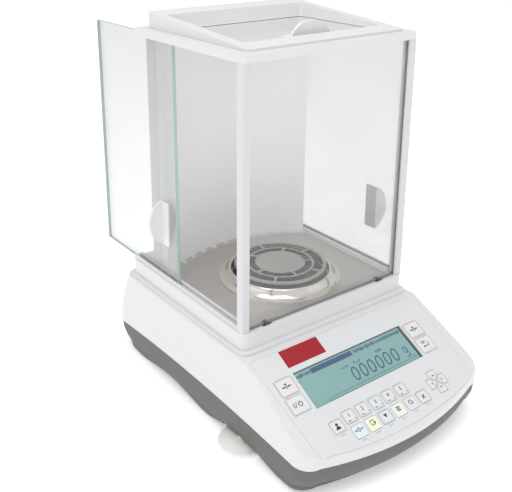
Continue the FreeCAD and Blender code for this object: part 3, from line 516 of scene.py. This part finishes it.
def keyTop(node):  # the key's top face cut down to a printed border and the field inside it
    bm = bmesh.new()
    bm.from_mesh(nodes[node].data)
    bmesh.ops.transform(bm, matrix=Matrix.Scale(1 / mm, 4) @ panelTurn.inverted(), verts=bm.verts)
    bmesh.ops.remove_doubles(bm, verts=bm.verts, dist=1e-4)
    top = max(v.co.z for v in bm.verts)
    gone = [f for f in bm.faces if min(v.co.z for v in f.verts) < top - 0.01]
    bmesh.ops.delete(bm, geom=gone, context="FACES")
    for vert in bm.verts:
        vert.co.z = 0
    bmesh.ops.dissolve_limit(bm, angle_limit=0.01, verts=bm.verts, edges=bm.edges)
    rim = bmesh.ops.inset_region(bm, faces=bm.faces[:], thickness=outline["inset"],
                                 use_boundary=True)["faces"]
    bmesh.ops.delete(bm, geom=rim, context="FACES")
    rim = bmesh.ops.inset_region(bm, faces=bm.faces[:], thickness=outline["line"],
                                 use_boundary=True)["faces"]
    return bm, [f for f in bm.faces if f not in set(rim)]


for node, (border, field, sign) in keys.items():
    bm, inside = keyTop(node)
    if field is None:
        bmesh.ops.delete(bm, geom=inside, context="FACES")
    printed(node + "_border", bm, inks[border], node)
    low, high = panelBox(node)
    bm = bmesh.new()
    drawStrokes(bm, signs[sign], (low[0] + high[0]) / 2, (low[1] + high[1]) / 2)
    printed(node + "_sign", bm, inks["black"], node, console["ink"] if field else 0.0)
print("key prints made:", len(keys))

badge = {"x": -48.9, "y": 100.6, "wide": 43.0, "tall": 16.8, "corner": 0.6}
bm = bmesh.new()
inkBar(bm, badge["x"], badge["y"], badge["wide"], badge["tall"])
bmesh.ops.bevel(bm, geom=bm.verts[:], offset=badge["corner"], affect="VERTICES", segments=3,
                profile=0.5, material=-1)
printed("blank_badge", bm, inks["badge"], "control_overlay")

legends = {"left": -63.2, "pitch": 15.4, "count": 7, "y": 12.6, "firstUp": 11.0,
           "wide": 5.2, "tall": 0.55}
bm = bmesh.new()
for column in range(legends["count"]):
    up = legends["y"] + (legends["firstUp"] if column == 0 else 0.0)
    inkBar(bm, legends["left"] + column * legends["pitch"], up, legends["wide"], legends["tall"])
printed("key_legends", bm, inks["grey"], "control_overlay")

display = {  # in mm on the console, from its middle and its front edge
    "digits": 6, "first": -13.7, "pitch": 9.83, "y": 64.6, "wide": 3.8, "tall": 6.6,
    "line": 1.5, "lean": 0.12, "shadowRight": 1.8, "seal": 0.5,
    "scaleY": 82.7, "scaleTall": (1.6, 3.8), "scaleWide": (0.5, 1.5), "scaleGap": (0.25, 0.6),
    "jitter": 0.3, "overlap": 0.5,
    "scales": ((-68.0, -53.0), (-1.5, 57.5)),
    "marks": [("ring", 48.6, 64.6, 2.3, 0.9, 1.5), ("bar", 50.7, 62.6, 0.9, 9.0),
              ("bar", 48.8, 58.2, 4.0, 0.9), ("bar", -28, 82.7, 48, 4.6),
              ("arrow", -22.5, 73.5, 2.6, 0), ("ring", -19.4, 73.5, 1.0, 0.35, 1.4),
              ("arrow", -16.3, 73.5, 2.6, 180), ("bar", -5.0, 73.2, 7.0, 0.6),
              ("disc", -8.0, 74.4, 1.1, 3, 1, 180), ("disc", -1.8, 74.4, 1.1, 3, 1, 180),
              ("bar", 2.6, 52.6, 110.5, 0.35), ("bar", 2.6, 55.2, 110.5, 0.35),
              ("bar", -52.6, 53.9, 0.35, 2.3)]
             + [("bar", 19.5 + count * 2.0, 74.6, 1.2, 2.4) for count in range(4)]
             + [("bar", 46 + count * 2.2, 57.0, 1.3, 0.5) for count in range(5)],
}
(left, low), (right, high) = (corner[:2] for corner in panelBox("lcd_window"))
middle = ((left + right) / 2, (low + high) / 2)
bm = bmesh.new()
overlap = 2 * display["overlap"]
inkBar(bm, *middle, right - left + overlap, high - low + overlap)
printed("lcd_field", bm, finishes["lcd_glass"], "lcd_module", slot="lcd_glass")

bm = bmesh.new()
for count in range(display["digits"]):
    inkRing(bm, display["first"] + count * display["pitch"], display["y"], display["wide"],
            display["line"], display["tall"] / display["wide"], lean=display["lean"])
drawStrokes(bm, display["marks"])
draw = random.Random(7)
for start, end in display["scales"]:
    u = start
    while u < end:
        wide = draw.uniform(*display["scaleWide"])
        tall = draw.uniform(*display["scaleTall"])
        up = display["scaleY"] + draw.uniform(-display["jitter"], display["jitter"])
        inkBar(bm, u + wide / 2, up, wide, tall)
        u += wide + draw.uniform(*display["scaleGap"])
printed("lcd_characters", bm, inks["navy"], "lcd_module", console["ink"], "lcd_glass")

# a thin dark seal round the LCD field; the wider dark strip on its right is a painted shadow of the
# window's edge over the sunken display
seal, shadowRight = display["seal"], display["shadowRight"]
bm = bmesh.new()
inkBar(bm, right - shadowRight / 2, middle[1], shadowRight, high - low)
inkBar(bm, left + seal / 2, middle[1], seal, high - low)
for v in (low + seal / 2, high - seal / 2):
    inkBar(bm, middle[0] + (seal - shadowRight) / 2, v, right - left - seal - shadowRight, seal)
printed("lcd_seal_and_painted_shadow", bm, finishes["black_rubber"], "lcd_module", console["ink"], "black_rubber")
print("display made")


ring = {  # radius and height of the turned draft ring's section, from its foot outside to inside
    "steps": 128,
    "section": [(59.4, 106.0), (59.4, 107.2), (57.6, 107.9), (56.2, 108.2), (54.5, 109.2),
                (52.6, 111.2), (51.2, 113.4), (50.2, 114.9), (49.4, 115.5), (48.4, 115.4),
                (47.6, 114.6), (47.2, 113.4), (47.2, 106.8), (47.8, 106.0)],
}
bm = bmesh.new()
corners = [bm.verts.new((r * mm, 0, z * mm)) for r, z in ring["section"]]
sides = [bm.edges.new((a, b)) for a, b in zip(corners, corners[1:] + corners[:1])]
bmesh.ops.spin(bm, geom=corners + sides, cent=(0, 0, 0), axis=(0, 0, 1), angle=2 * math.pi,
               steps=ring["steps"], use_merge=True)
bmesh.ops.remove_doubles(bm, verts=bm.verts, dist=1e-6)
bmesh.ops.recalc_face_normals(bm, faces=bm.faces[:])
finished("draft_ring_turned", bm, bodyOf("draft_ring"), slotOf("draft_ring"),
         replaces=("draft_ring",), smooth=50)

caseRim = {"radius": 1.6, "segments": 4, "side": 99, "front": -160, "rear": 125,
           "level": 0.8, "upright": 0.35}


def onCaseRim(edge):  # where the console and the ledge turn down into the case's walls
    flat, upright = sorted((f.normal for f in edge.link_faces), key=lambda n: -n.z)
    middle = (edge.verts[0].co + edge.verts[1].co) / 2 / mm
    outward = upright.x * middle.x + upright.y * middle.y
    outer = abs(middle.x) > caseRim["side"] or middle.y > caseRim["rear"]
    return (flat.z > caseRim["level"] and abs(upright.z) < caseRim["upright"] and outward > 0
            and outer and middle.y > caseRim["front"])


softEdges = {
    "lid_frame": 0.9, "chamber_base": 0.5, "column_cover": 0.8, "column_wall": 0.5,
    "post_left": 1.6, "post_right": 1.6, "top_door_handle": 0.6, "left_door_handle": 0.6,
    "right_door_handle": 0.6, "upper_housing": 1.2, "lower_housing": 1.0, "control_overlay": 0.25,
    "weighing_pan": 0.35, "foot_wheel_left": 0.5, "foot_wheel_right": 0.5,
}
keyRounding = 0.12
finerAbove = 0.7  # a rounding wider than this gets a third segment
# the column wall and right door handle take the brightened white (painted light), the posts the
# darkened white (painted shade)
ownFinish = {"column_wall": (variants["chamber"],), "right_door_handle": (variants["chamber"],),
             "post_left": (variants["post"],), "post_right": (variants["post"],)}
ownEdges = {"upper_housing": (onCaseRim, caseRim["radius"], caseRim["segments"])}
for node, radius in softEdges.items():
    softened(node, radius, 3 if radius > finerAbove else 2, ownFinish.get(node, ()),
             ownEdges.get(node))
for node in keys:
    softened(node, keyRounding, 1)
print("mouldings rounded:", len(softEdges) + len(keys))

seats = {"width": 0.45, "rounding": 0.3}
bm = merged("glass_seats")
for side in (-1, 1):  # each seat is narrowed about its own middle
    half = [v for v in bm.verts if v.co.x * side > 0]
    place = sum(v.co.x for v in half) / len(half)
    for vert in half:
        vert.co.x = place + (vert.co.x - place) * seats["width"]
softBevel(bm, sharpEdges(bm), seats["rounding"], 2)
finished("glass_seats_soft", bm, bodyOf("glass_seats"), slotOf("glass_seats"),
         finishes["grey_rubber"], replaces=("glass_seats",), smooth=40)

vial = {"bubble": 2.2, "flat": 0.25, "drift": (0.4, -0.3), "circle": 3.2, "line": 0.25,
        "paint": 0.1}
low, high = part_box("level_vial")
spot = (low + high) / 2
bm = bmesh.new()
bmesh.ops.create_uvsphere(bm, u_segments=24, v_segments=12, radius=vial["bubble"] * mm)
bmesh.ops.scale(bm, vec=(1, 1, vial["flat"]), verts=bm.verts)
bubbleX, bubbleY = spot.x + vial["drift"][0] * mm, spot.y + vial["drift"][1] * mm
bmesh.ops.translate(bm, vec=(bubbleX, bubbleY, high.z), verts=bm.verts)
finished("level_bubble", bm, bodyOf("level_vial"), "vial_glass", inks["yellow"], smooth=60)
bm = bmesh.new()
inkRing(bm, 0, 0, vial["circle"], vial["line"])
raised(bm, vial["paint"])
finished("level_circle", bm, bodyOf("level_vial"), "vial_glass", inks["black"],
         turn=Matrix.Translation((spot.x, spot.y, high.z)) @ Matrix.Scale(mm, 4))


look = {  # place, lens and sensor in mm; yaw and pitch in degrees; shift in sensor widths
    "place": (-438.0, -526.9, 453.7), "yaw": -36.4, "pitch": 17.8, "lens": 54.1336,
    "sensor": 36.0, "shift": (0.032617, -0.1875), "nearest": 10}
camera = bpy.data.cameras.new("camera")
camera.sensor_width = look["sensor"]
camera.lens = look["lens"]
camera.shift_x, camera.shift_y = look["shift"]
camera.clip_start = look["nearest"] * mm
eye = bpy.data.objects.new("camera", camera)
bpy.context.scene.collection.objects.link(eye)
eye.location = [c * mm for c in look["place"]]
eye.rotation_euler = (math.radians(90 - look["pitch"]), 0, math.radians(look["yaw"]))
bpy.context.scene.camera = eye

studio = {  # lamp: place, the point it faces, side in metres, power
    "overhead_box": ((-0.35, -0.25, 1.6), (0, 0, 0.1), 1.2, 10.5),
    "front_right_box": ((1.1, -1.3, 0.9), (0, 0, 0.12), 1.0, 0.5),
    "left_fill": ((-1.5, -0.1, 0.7), (0, 0, 0.15), 1.0, 1.0),
}
for name, (place, aim, side, power) in studio.items():
    lamp = bpy.data.lights.new(name, "AREA")
    lamp.shape = "SQUARE"
    lamp.size = side
    lamp.energy = power
    holder = bpy.data.objects.new(name, lamp)
    bpy.context.scene.collection.objects.link(holder)
    holder.location = place
    holder.rotation_euler = (Vector(aim) - Vector(place)).to_track_quat("-Z", "Y").to_euler()

ground = {"half": 30, "colour": rgb(251, 251, 252), "glow": 0.32, "sky": 0.75}  # half in metres
bm = bmesh.new()
bmesh.ops.create_grid(bm, x_segments=2, y_segments=2, size=ground["half"])
mesh = bpy.data.meshes.new("floor")
bm.to_mesh(mesh)
bm.free()
floor = bpy.data.objects.new("floor", mesh)
bpy.context.scene.collection.objects.link(floor)
mesh.materials.append(moulded("paleFloor", ground["colour"], 0.8, 300, 0.02, 0.004,
                              glow=ground["glow"]))

world = bpy.data.worlds.new("studio")
bpy.context.scene.world = world
world.use_nodes = True
world.node_tree.nodes["Background"].inputs[0].default_value = (1, 1, 1, 1)
world.node_tree.nodes["Background"].inputs[1].default_value = ground["sky"]
bpy.context.scene.view_settings.view_transform = "Standard"
print("camera, lights and floor set")
